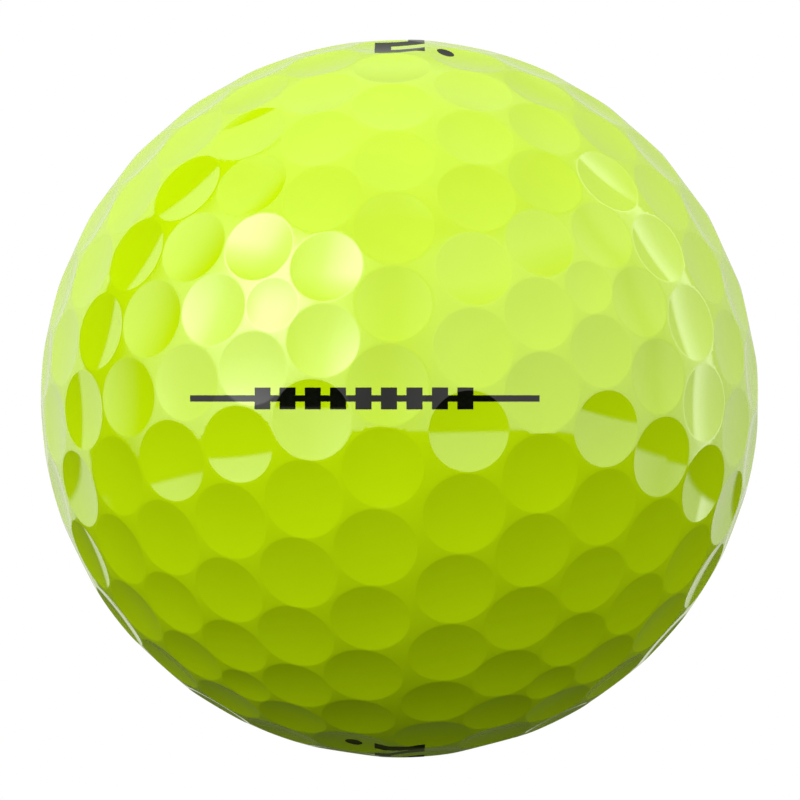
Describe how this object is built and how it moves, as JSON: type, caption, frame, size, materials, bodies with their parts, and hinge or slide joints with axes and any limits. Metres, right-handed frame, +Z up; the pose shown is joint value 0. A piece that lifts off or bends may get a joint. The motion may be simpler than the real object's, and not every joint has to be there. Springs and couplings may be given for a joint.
{
  "type": "golf ball",
  "caption": "Dimpled golf ball in bright yellow-green with a solid rubber core, a thin moulded cover in halves, plain alignment strips and block play numbers.",
  "frame": {"origin": "centre of the ball", "axes": "+Z up, -Y out through the front alignment strip, +X along the strip to its right end"},
  "size_m": [0.0426, 0.0428, 0.0426],
  "materials": {
    "cover": "moulded yellow-green ionomer under a clear gloss coat",
    "core": "moulded matte rubber",
    "print": "black pad-printed ink under the clear coat"
  },
  "bodies": {
    "root": {"core": "core", "cover_half_a": "cover", "cover_half_b": "cover", "alignment_strip_front": "print", "alignment_strip_back": "print", "play_number_top": "print", "play_number_bottom": "print", "number_dot_top": "print", "number_dot_bottom": "print"}
  },
  "joints": []
}
